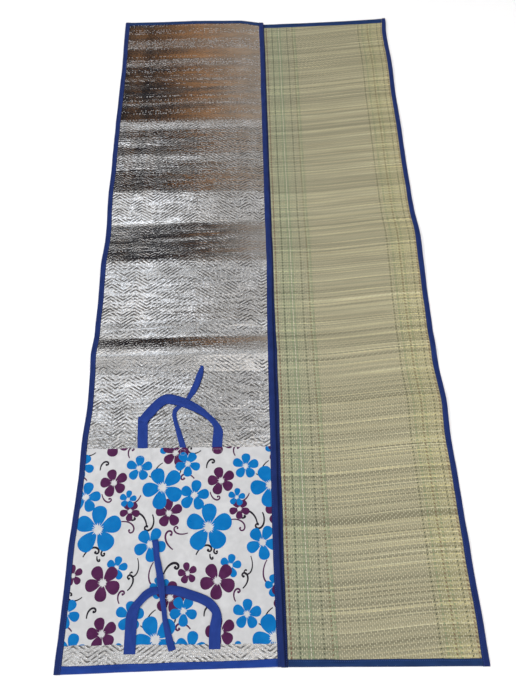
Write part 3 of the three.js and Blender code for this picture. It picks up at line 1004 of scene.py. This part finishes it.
class Panel:
    """The printed film's outline, bed and print."""

    def __init__(self, leaf):
        self.leaf = leaf
        self.relief = Relief("cover_panel", keen=0.8, easy=2.0)

    def end(self, x, up):
        """Where the straight end that is at up in the film leaf's middle lies at x."""
        return FOOT + up - PANEL_SKEW * (x - MIDDLE - FILM_MIDDLE) / FILM_SPAN

    def foot(self, x):
        return self.end(x, PANEL_FOOT) + 0.0006 * np.sin(x * 95) + 0.0004 * np.sin(x * 240 + 1)

    def head(self, x):
        return self.end(x, PANEL_HEAD) + 0.0005 * np.sin(x * 80 + 2) + 0.0004 * np.sin(x * 210)

    def under(self, x, y):
        wrinkle = waves(x, y, 29, np.geomspace(0.016, 0.05, 6), 0.01, 1.3)
        near_foot = 1 - soft((y - self.foot(x) - 0.03) / 0.09)
        bed = self.relief.at(x, y) - AIR + ripple(x, y)
        bed = np.maximum(bed, self.leaf.top(x, y) + AIR + over_tucked(x, y))
        return bed + wrinkle * (0.25 + 0.75 * near_foot)

    def top(self, x, y):
        return self.under(x, y) + FILM

    def outline(self):
        inside = PANEL_SIDE / self.leaf.width
        left, right = self.side(inside), self.side(1 - inside)
        share = np.linspace(0, 1, len(left))[1:-1]
        foot_x, head_x = (left[k, 0] + share * (right[k, 0] - left[k, 0]) for k in (0, -1))
        foot = np.stack([foot_x, self.foot(foot_x)], axis=1)
        head = np.stack([head_x, self.head(head_x)], axis=1)
        return np.concatenate([foot, right, head[::-1], left[::-1]])

    def side(self, u):
        """A long edge of the panel, from its foot to its head."""
        low, high = self.corner(u, self.foot), self.corner(u, self.head)
        v = np.linspace(0, 1, 60)
        return np.stack(self.leaf.plan(np.full(v.size, u), low + v * (high - low)), axis=1)

    def corner(self, u, end):
        """The share of the leaf's length at which the panel's end crosses u."""
        shares = np.linspace(0, 0.4, 400)
        x, y = self.leaf.plan(np.full(shares.size, u), shares)
        return shares[np.argmin(np.abs(y - end(x)))]

    def triangles(self):
        """The print's points in plan, its triangles, and the ink of each."""
        outline = self.outline()
        low, high = outline.min(0), outline.max(0)
        origin = low - PRINT_START
        drawn = motifs(low - origin, high - origin)
        grid = [np.arange(a + PANEL_CELL, b, PANEL_CELL) for a, b in zip(low, high)]
        lattice = np.stack(np.meshgrid(*grid), -1).reshape(-1, 2)
        shapes = [outline] + [facing_up(shape + origin) for shape, ink in drawn]
        inks = [WHITE] + [ink for shape, ink in drawn]
        starts = np.cumsum([0] + [len(shape) for shape in shapes])
        faces = [list(range(a, b)) for a, b in zip(starts, starts[1:])]
        millimetres = [tuple(point) for point in np.concatenate(shapes + [lattice]) * 1000]
        made, _, found, _, _, sources = delaunay_2d_cdt(millimetres, [], faces, 1, 1e-4, True)
        kept = [(face, inks[max(source)]) for face, source in zip(found, sources) if 0 in source]
        triangles, kinds = zip(*kept)
        return np.array(made) / 1000, np.array(triangles), np.array(kinds)

    def piece(self, inks):
        plan, triangles, kinds = self.triangles()
        used, triangles = np.unique(triangles, return_inverse=True)
        triangles = triangles.reshape(-1, 3)
        x, y = plan[used].T
        under = self.under(x, y)
        points = np.concatenate([np.stack([x, y, z], axis=1) for z in (under, under + FILM)])
        count = len(used)
        edges = np.concatenate([triangles[:, [0, 1]], triangles[:, [1, 2]], triangles[:, [2, 0]]])
        lone = ~np.isin(edges @ (count, 1), edges @ (1, count))
        a, b = edges[lone].T
        rim = quads(a, b, b + count, a + count)
        blocks = outward(points, [triangles + count, triangles[:, ::-1], rim])
        kinds = np.concatenate([kinds, np.full(len(triangles) + len(rim), WHITE)])
        made = mesh_piece("printed_panel", points, blocks, inks, kinds)
        self.set_normals(made, x, y)
        return finish_piece(made, "printed_film", "cover_panel")

    def set_normals(self, made, x, y):
        """Shading from the panel's true slope, so that the print's outlines don't show in it."""
        step = 0.001
        slope_x = (self.under(x + step, y) - self.under(x - step, y)) / (2 * step)
        slope_y = (self.under(x, y + step) - self.under(x, y - step)) / (2 * step)
        up = unit(np.stack([-slope_x, -slope_y, np.ones_like(x)], axis=1))
        made.data.normals_split_custom_set_from_vertices(np.concatenate([-up, up]))


# Straps and ribbons

# Stations along each strap's middle line: x, up, the height above its bed, the direction of its
# width in degrees, the width that shows, and the height of its crown. The rest of its width is
# turned under.
HANDLE_UPPER = [
    (-0.281, 0.414, 0, 0, 0.0225, 0), (-0.2815, 0.434, 0, 0, 0.0225, 0),
    (-0.283, 0.46, 0.0003, 1, 0.0225, 0.0006), (-0.284, 0.48, 0.0002, 2, 0.0225, 0.0004),
    (-0.2845, 0.4985, 0, 0, 0.0228, 0), (-0.284, 0.5035, 0.0003, -8, 0.023, 0),
    (-0.2835, 0.504, 0.001, -10, 0.023, 0), (-0.2835, 0.503, 0.0016, -12, 0.023, 0),
    (-0.2845, 0.4975, 0.0017, -14, 0.023, 0), (-0.285, 0.4945, 0.0018, -14, 0.023, 0),
    (-0.285, 0.4937, 0.0024, -15, 0.023, 0), (-0.2845, 0.4945, 0.003, -18, 0.023, 0),
    (-0.279, 0.503, 0.0032, -29, 0.022, 0.001), (-0.267, 0.517, 0.0024, -42, 0.0235, 0.0014),
    (-0.255, 0.531, 0.0014, -50, 0.0245, 0.001), (-0.244, 0.541, 0.0012, -60, 0.024, 0.0008),
    (-0.231, 0.5465, 0.0012, -84, 0.0245, 0.0008), (-0.213, 0.544, 0.0016, -104, 0.022, 0.0014),
    (-0.19, 0.537, 0.002, -108, 0.0205, 0.002), (-0.17, 0.5275, 0.0018, -114, 0.019, 0.002),
    (-0.151, 0.5165, 0.0014, -122, 0.0155, 0.0012), (-0.134, 0.503, 0.0012, -130, 0.0125, 0.0006),
    (-0.122, 0.491, 0.0012, -137, 0.0125, 0.0006), (-0.1145, 0.48, 0.001, -150, 0.015, 0.0006),
    (-0.1112, 0.468, 0.0004, -170, 0.021, 0.0004), (-0.112, 0.452, 0.0002, -179, 0.0222, 0.0004),
    (-0.113, 0.435, 0, -180, 0.0222, 0), (-0.114, 0.414, 0, -180, 0.0222, 0),
]
HANDLE_LOWER = [
    (-0.282, 0.031, 0, 0, 0.0228, 0), (-0.282, 0.055, 0.0002, 0, 0.0225, 0.0004),
    (-0.282, 0.082, 0.0006, 0, 0.0222, 0.0012), (-0.281, 0.098, 0.001, -6, 0.0228, 0.001),
    (-0.278, 0.109, 0.0012, -22, 0.019, 0.0008), (-0.273, 0.118, 0.0012, -38, 0.016, 0.0006),
    (-0.266, 0.126, 0.0012, -46, 0.015, 0.0006), (-0.257, 0.135, 0.0012, -52, 0.0158, 0.0006),
    (-0.247, 0.1412, 0.0012, -64, 0.0158, 0.0006), (-0.239, 0.1434, 0.001, -78, 0.0135, 0.0004),
    (-0.229, 0.1444, 0.0008, -86, 0.0132, 0.0004), (-0.215, 0.1445, 0.0006, -90, 0.0142, 0.0004),
    (-0.202, 0.1445, 0.0008, -94, 0.0155, 0.0008), (-0.185, 0.1412, 0.001, -102, 0.0172, 0.0014),
    (-0.166, 0.1352, 0.0012, -107, 0.0172, 0.0014), (-0.144, 0.1282, 0.0012, -111, 0.0168, 0.0014),
    (-0.129, 0.1212, 0.0012, -118, 0.0172, 0.001), (-0.119, 0.113, 0.0012, -132, 0.017, 0.0008),
    (-0.1125, 0.1045, 0.001, -150, 0.0165, 0.0008), (-0.1105, 0.094, 0.0008, -170, 0.0195, 0.001),
    (-0.1125, 0.079, 0.0004, -178, 0.0215, 0.0008), (-0.114, 0.058, 0.0002, -180, 0.0225, 0.0004),
    (-0.114, 0.037, 0, -180, 0.0225, 0),
]
TIE_UPPER = [
    (-0.19, 0.414, 0, 6, 0.013, 0), (-0.191, 0.434, 0, 8, 0.013, 0),
    (-0.1975, 0.455, 0.0002, 17, 0.012, 0.0006), (-0.2035, 0.474, 0.0004, 18, 0.01, 0.0008),
    (-0.2095, 0.492, 0.0004, 14, 0.0085, 0.0008), (-0.213, 0.508, 0.0002, 2, 0.009, 0.0004),
    (-0.2115, 0.519, 0, -28, 0.0095, 0.0002), (-0.203, 0.528, 0, -42, 0.009, 0),
    (-0.185, 0.543, 0, -48, 0.0105, 0), (-0.1765, 0.556, 0, -40, 0.0115, 0),
    (-0.169, 0.569, 0.001, -30, 0.015, 0.0012), (-0.163, 0.582, 0.0022, -24, 0.0165, 0.002),
    (-0.1575, 0.6, 0.003, -18, 0.015, 0.0022), (-0.1535, 0.614, 0.0034, -14, 0.0105, 0.0016),
    (-0.1508, 0.625, 0.0036, -12, 0.005, 0.0004),
]
TIE_LOWER = [
    (-0.198, 0.036, 0, 15, 0.014, 0), (-0.204, 0.053, 0.0001, 17, 0.013, 0.0004),
    (-0.21, 0.074, 0.0003, 15, 0.011, 0.0008), (-0.2145, 0.09, 0.0006, 9, 0.0095, 0.0008),
    (-0.2175, 0.108, 0.0014, 9, 0.0092, 0.0006), (-0.221, 0.127, 0.0032, 9, 0.01, 0.0006),
    (-0.224, 0.146, 0.0037, 9, 0.0128, 0.0008), (-0.227, 0.163, 0.003, 9, 0.0145, 0.001),
    (-0.23, 0.177, 0.0016, 10, 0.013, 0.001), (-0.234, 0.193, 0.0008, 12, 0.0125, 0.0008),
    (-0.2375, 0.208, 0.0005, 10, 0.0112, 0.0008), (-0.24, 0.225, 0.0005, 8, 0.0116, 0.0006),
    (-0.2425, 0.24, 0.0008, 8, 0.012, 0.0004),
]

# Steps between two stations, points over the crown and round the turned edge, and its radius.
SUBSTEPS = 6
TOP_POINTS = 11
TURN_POINTS = 4
TURN_RADIUS = 0.0006


def along_route(rows):
    """The stations' values at many steps, on smooth curves through the rows."""
    values = np.array(rows, float)
    strides = np.linalg.norm(np.diff(values[:, :3], axis=0), axis=1)
    at = np.concatenate([[0], np.cumsum(np.sqrt(strides * 0.02 + 1e-9))])
    slopes = np.gradient(values, at, axis=0)
    steps = []
    for k in range(len(rows) - 1):
        wide = at[k + 1] - at[k]
        for t in np.arange(SUBSTEPS) / SUBSTEPS:
            steps.append(
                values[k] * (1 + 2 * t) * (1 - t) ** 2
                + slopes[k] * wide * t * (1 - t) ** 2
                + values[k + 1] * t * t * (3 - 2 * t)
                + slopes[k + 1] * wide * t * t * (t - 1)
            )
    return np.array(steps + [values[-1]])


def strap_section(span, rest, arch):
    """A strap's section, from its open edge over its crown and round to the turned-under rest:
    the places across it and their heights."""
    radius = min(TURN_RADIUS, rest / math.pi)
    flat = np.linspace(-0.5, 0.5, TOP_POINTS)
    turns = np.linspace(0, math.pi, TURN_POINTS + 2)[1:-1]
    left = max(0.0, rest - math.pi * radius)
    shares = np.array([0, 0.35, 0.7, 1])
    across = np.concatenate([flat * span, span / 2 + radius * np.sin(turns), span / 2 - left * shares])
    crown = arch * (1 - (2 * flat) ** 2) + 2 * radius * soft(flat * 2 + 0.6)
    return across, np.concatenate([crown, radius * (1 + np.cos(turns)), 0 * shares])


def strap_grid(rows, width, bed):
    """The middle surface of a strap, its turned-under edge included."""
    grid = []
    for x, up, over, heading, span, arch in along_route(rows):
        span = min(span, width)
        across, height = strap_section(span, width - span, arch)
        heading = math.radians(heading)
        px = x + MIDDLE + across * math.cos(heading)
        py = up + FOOT + across * math.sin(heading)
        grid.append(np.stack([px, py, bed(px, py) + over + height + STRAP / 2 + AIR], axis=1))
    return np.array(grid)


def strap_piece(node, rows, width, bed):
    grid = strap_grid(rows, width, bed)
    along, across = np.gradient(grid, axis=0), np.gradient(grid, axis=1)
    edge = np.ones(grid.shape[1])
    edge[[0, -1]] = 0.55
    offset = unit(np.cross(across, along)) * (STRAP / 2) * edge[None, :, None]
    points, blocks, _ = shell(grid - offset, grid + offset)
    lengths = (run_of(grid, axis=1), run_of(grid)[:, TOP_POINTS // 2, None])
    piece = mesh_piece("sewn_" + node, points, outward(points, blocks), [STRAP_CLOTH], grain=lengths)
    return finish_piece(piece, "strap", node)


# The mat

FILM_LEAF = Leaf("leaf_foil_up")
STRAW_LEAF = Leaf("leaf_straw_up")
PANEL = Panel(FILM_LEAF)

# Painted light and shade: one blue tape in lit and shaded copies, lightest at the film leaf's foot, darker
# at the sides and ends, darkest at the straw leaf's seam, which lies lower.
LIT_TAPE = tape_cloth("edge_tape", (0.009, 0.032, 0.185), (0.014, 0.05, 0.265), 0.0011)
SHADED_SIDE_TAPE = tape_cloth("shaded_side_tape", (0.007, 0.017, 0.085), (0.012, 0.027, 0.13), 0.0011)
SHADED_END_TAPE = tape_cloth("shaded_end_tape", (0.007, 0.023, 0.08), (0.011, 0.035, 0.12), 0.0011)
SHADED_TAPE = tape_cloth("shaded_tape", (0.005, 0.011, 0.055), (0.008, 0.017, 0.085), 0.0011)
STRAP_CLOTH = tape_cloth("strap_cloth", (0.011, 0.031, 0.175), (0.017, 0.045, 0.235), 0.0009)
BLUE_THREAD = sewing_thread("blue_thread", (0.02, 0.045, 0.2))
PALE_THREAD = sewing_thread("pale_thread", (0.5, 0.5, 0.54))
INKS = [
    printed("film_white", (0.475, 0.478, 0.49), (0.535, 0.538, 0.55), 0.35),
    printed("film_blue", (0, 0.125, 0.375), (0.002, 0.15, 0.415), 0.12),
    printed("film_plum", (0.056, 0.009, 0.05), (0.072, 0.014, 0.064), 0.15),
    printed("film_black", (0.01, 0.008, 0.014), (0.018, 0.014, 0.022), 0.15),
]

# Each binding's leaf, side, node and cloth, whether the panel holds its flap up, and how much
# wider than FLAP its flaps are. The cloths are one tape, painted lighter or darker for how
# light falls on each binding.
BINDINGS = [
    (FILM_LEAF, "left", "binding_foil_side", SHADED_SIDE_TAPE, True, 0),
    (FILM_LEAF, "right", "binding_foil_seam", SHADED_SIDE_TAPE, True, 0),
    (FILM_LEAF, "foot", "binding_foil_foot", LIT_TAPE, False, 0),
    (FILM_LEAF, "head", "binding_foil_head", SHADED_END_TAPE, False, 0),
    (STRAW_LEAF, "left", "binding_straw_seam", SHADED_TAPE, False, 0),
    (STRAW_LEAF, "right", "binding_straw_side", SHADED_SIDE_TAPE, False, 0),
    (STRAW_LEAF, "foot", "binding_straw_foot", SHADED_END_TAPE, False, 0),
    (STRAW_LEAF, "head", "binding_straw_head", SHADED_END_TAPE, False, 0.004),
]


def make_leaves():
    film = metallised_film(FILM_LEAF.width, FILM_LEAF.length)
    straw = woven_straw(STRAW_LEAF.width)
    return (
        leaf_piece(FILM_LEAF, film, straw, "metal_film"),
        leaf_piece(STRAW_LEAF, straw, film, "woven_straw"),
    )


def make_bindings():
    """The bindings and stitches of each leaf."""
    made = {}
    for leaf in (FILM_LEAF, STRAW_LEAF):
        sewn = [binding_piece(*row, seed) for seed, row in enumerate(BINDINGS, 1) if row[0] is leaf]
        pieces, seams = zip(*sewn)
        name = leaf.node.replace("leaf_", "binding_stitches_")
        stitches = stitch_piece(name, seams, BLUE_THREAD, "edge_tape", STITCH_PITCH, STITCH_LENGTH)
        made[leaf.node] = [*pieces, stitches]
    return made


def lower_bed(x, y):
    """The panel, and the film below its foot edge."""
    on_panel = soft((y - PANEL.foot(x) + 0.012) / 0.01)
    film = FILM_LEAF.top(x, y)
    return film + (PANEL.top(x, y) - film) * on_panel


# Each strap's node, stations, width, flat length and bed.
STRAPS = [
    ("handle_upper", HANDLE_UPPER, STRAP_WIDTH, 0.42, FILM_LEAF.top),
    ("handle_lower", HANDLE_LOWER, STRAP_WIDTH, 0.37, lower_bed),
    ("tie_upper", TIE_UPPER, RIBBON_WIDTH, 0.24, FILM_LEAF.top),
    ("tie_lower", TIE_LOWER, RIBBON_WIDTH, 0.21, lower_bed),
]
LOWER_SQUARES = [(-0.282, 0.042, 0.017, 0.013), (-0.114, 0.048, 0.017, 0.013), (-0.2, 0.042, 0.008, 0.006)]
UPPER_SQUARES = [(-0.281, 0.421, 0.018, 0.014), (-0.113, 0.421, 0.018, 0.014), (-0.19, 0.422, 0.01, 0.012)]


def make_straps():
    straps = [strap_piece(node, rows, width, bed) for node, rows, width, _, bed in STRAPS]
    sewn = sewn_squares(LOWER_SQUARES, lower_bed, STRAP + AIR)
    stitch_piece("strap_stitches", sewn, BLUE_THREAD, "strap", SQUARE_PITCH, SQUARE_LENGTH)
    tucked = sewn_squares(UPPER_SQUARES, PANEL.top, 0)
    stitch_piece("panel_stitches", tucked, PALE_THREAD, "printed_film", SQUARE_PITCH, SQUARE_LENGTH)
    return straps


# Stage

def make_floor():
    half = 8.0
    corners = np.array([(x * half, y * half, -0.0004) for x, y in ((-1, -1), (1, -1), (1, 1), (-1, 1))])
    made, n = material("pale_floor")
    surface(n, Base_Color=(0.97, 0.97, 0.975, 1), Roughness=0.9)
    mesh_piece("floor", corners, [np.array([[0, 1, 2, 3]])], [made])


# The room's light by direction, from the horizon beyond the mat's head, over the top, to the
# one behind the camera, as shares of that half turn.
ROOM = [
    (0, (0.3, 0.3, 0.31)), (0.1, (0.15, 0.15, 0.155)), (0.18, (0.07, 0.068, 0.066)),
    (0.285, (0.05, 0.05, 0.05)), (0.318, (0.86, 0.88, 0.91)), (0.37, (0.84, 0.85, 0.87)),
    (0.42, (0.66, 0.66, 0.66)), (0.48, (0.6, 0.59, 0.58)), (0.54, (0.62, 0.61, 0.6)),
    (0.6, (0.5, 0.5, 0.5)), (0.68, (0.85, 0.85, 0.86)), (0.76, (1.15, 1.15, 1.16)),
    (1, (1.05, 1.05, 1.06)),
]
# The dim end beyond the head, from left to right. What stands low there is brown.
LOW_END = [
    (0.26, (0.01, 0.01, 0.012)), (0.29, (0.016, 0.015, 0.014)), (0.312, (0.13, 0.07, 0.038)),
    (0.332, (0.33, 0.165, 0.072)), (0.4, (0.34, 0.175, 0.08)), (0.43, (0.31, 0.24, 0.175)),
    (1, (0.36, 0.33, 0.3)),
]
DIM_END = [
    (0, (0.03, 0.03, 0.035)), (0.375, (0.03, 0.029, 0.031)), (0.405, (0.13, 0.12, 0.11)),
    (0.44, (0.29, 0.275, 0.26)), (1, (0.4, 0.375, 0.35)),
]
# How much the light right of the middle falls short of the left's, by the share of the half turn.
SHORT = [(0, 0.6), (0.338, 0.6), (0.352, 0.26), (0.37, 0.06), (0.41, 0), (1, 0)]


def make_world():
    """A soft studio: bright behind the camera, patchy above, dim beyond the mat's head."""
    world = bpy.data.worlds.new("studio")
    bpy.context.scene.world = world
    world.use_nodes = True
    n = Nodes(world.node_tree)
    direction = n.out("TexCoord", output="Generated")
    x, y, z = [n.out("SeparateXYZ", direction, output=k) for k in range(3)]
    arc = n.math("ARCTAN2", z, y) / math.pi
    right = n.step(x, -0.22, -0.05)
    patches = n.spread(n.step(n.noise(direction, 8.0, 1.0), 0.33, 0.67), 0.1, 1.9)
    strength = patches * (1 - n.curve(arc, SHORT) * right)
    general = n.mix(1.0, n.ramp(arc, ROOM), n.out("CombineXYZ", *[strength] * 3), "MULTIPLY")
    stretched = n.out("VectorMath", direction, (3, 1, 2), operation="MULTIPLY")
    warmth = n.step(n.noise(stretched, 2.5, 0.0), 0.4, 0.62)
    general = n.mix(1.0, general, n.mix(warmth, (0.93, 0.98, 1.04), (1.08, 1, 0.9)), "MULTIPLY")
    bearing = x / n.math("MAXIMUM", y, 0.05)
    heading = n.step(bearing, -0.5, 0.5, smooth=False)
    raised = n.step(arc, 0.228, 0.246)
    dim = n.mix(raised, n.ramp(heading, LOW_END), n.ramp(heading, DIM_END))
    low = n.step(arc, 0.08, 0.14) * (1 - n.step(arc, 0.285, 0.305))
    facing = n.step(bearing, -1.0, -0.55) * (1 - n.step(bearing, 0.35, 0.9))
    room = n.mix(low * facing, general, dim)
    seen = n.out("LightPath", output="Is Camera Ray")
    n.node("OutputWorld", n.out("Background", n.mix(seen, room, (0.93, 0.93, 0.94)), 1.0))


def make_lights():
    for name, place, energy in (("key", (-1.7, -0.2, 2.0), 44), ("fill", (1.7, -0.7, 2.1), 30)):
        light = bpy.data.lights.new(name, "AREA")
        light.size = 2.0
        light.energy = energy
        lamp = bpy.data.objects.new(name, light)
        lamp.location = place
        lamp.rotation_euler = (-Vector(place)).to_track_quat("-Z", "Y").to_euler()
        lamp.visible_glossy = False
        bpy.context.scene.collection.objects.link(lamp)


def make_camera():
    data = bpy.data.cameras.new("camera")
    data.lens = 27.05
    data.sensor_width = 36
    camera = bpy.data.objects.new("camera", data)
    camera.location = (-0.0235, -0.6898, 1.172)
    camera.rotation_euler = Euler((math.radians(21.8), 0, math.radians(-1.1)))
    bpy.context.scene.collection.objects.link(camera)
    bpy.context.scene.camera = camera
    bpy.context.scene.view_settings.view_transform = "Standard"


make_camera()
laid = make_leaves()
bound = make_bindings()
cover = PANEL.piece(INKS)
make_straps()
make_floor()
make_world()
make_lights()
